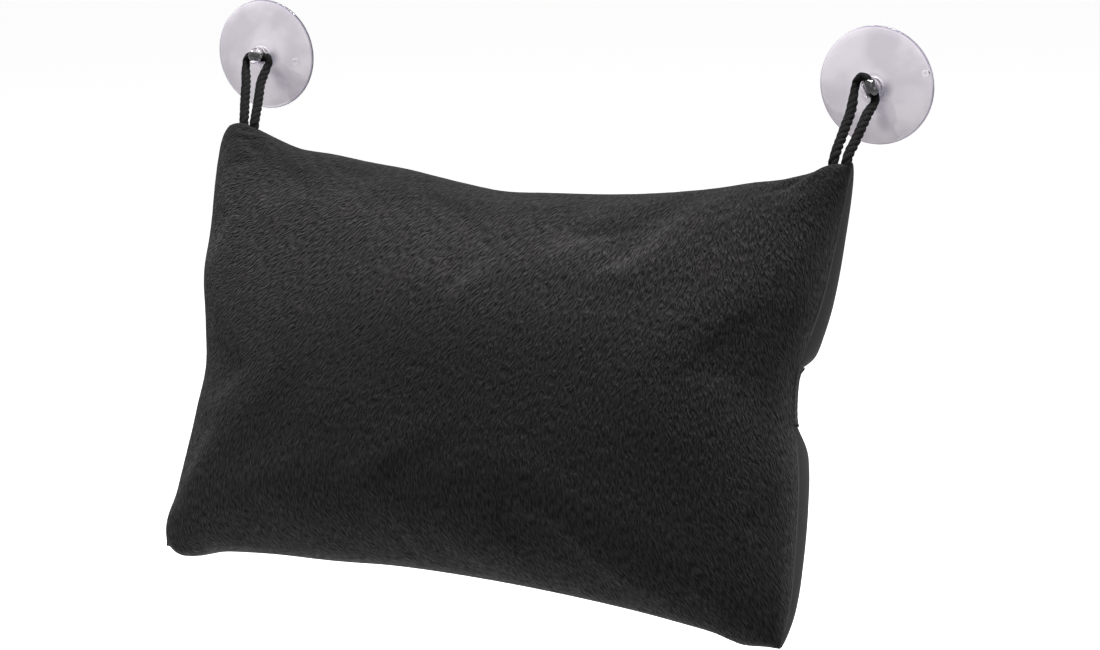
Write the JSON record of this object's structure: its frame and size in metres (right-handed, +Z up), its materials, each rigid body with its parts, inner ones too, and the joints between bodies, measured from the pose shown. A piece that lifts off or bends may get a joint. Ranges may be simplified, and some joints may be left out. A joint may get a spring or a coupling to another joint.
{
  "type": "bath pillow",
  "caption": "Plump rectangular bath pillow with a plush front, hung by cord loops at its top corners from clear suction cups.",
  "frame": {"origin": "on the wall plane, midway between the two suction cups' sealing faces", "axes": "+Z up along the wall, +Y into the wall, +X to the viewer's right, so the viewer stands at -Y"},
  "size_m": [0.3478, 0.1258, 0.2391],
  "materials": {
    "plush": "matte",
    "back_cloth": "matte",
    "beads": "matte",
    "cord": "matte",
    "clear_vinyl": "gloss"
  },
  "bodies": {
    "pillow": {"front_panel": "plush", "back_panel": "back_cloth", "bead_filling": "beads", "closing_seam": "back_cloth", "left_cord_tail": "cord", "right_cord_tail": "cord"},
    "left_loop": {"left_cord_loop": "cord"},
    "left_cup": {"left_suction_cup": "clear_vinyl"},
    "right_loop": {"right_cord_loop": "cord"},
    "right_cup": {"right_suction_cup": "clear_vinyl"}
  },
  "joints": [
    {"name": "left_loop_swing", "type": "hinge", "parent": "pillow", "child": "left_loop", "pos_m": [-0.13713, -0.03699, -0.02554], "axis": [1, 0, 0], "range_deg": [-50, 115]},
    {"name": "left_cup_tilt", "type": "hinge", "parent": "left_loop", "child": "left_cup", "pos_m": [-0.1489, -0.0078, 0], "axis": [1, 0, 0], "range_deg": [-35, 135]},
    {"name": "right_loop_swing", "type": "hinge", "parent": "pillow", "child": "right_loop", "pos_m": [0.14639, -0.03668, -0.02474], "axis": [1, 0, 0], "range_deg": [-50, 115]},
    {"name": "right_cup_tilt", "type": "hinge", "parent": "right_loop", "child": "right_cup", "pos_m": [0.1489, -0.0078, 0], "axis": [0.4384, 0, -0.8988], "range_deg": [-15, 115]}
  ]
}
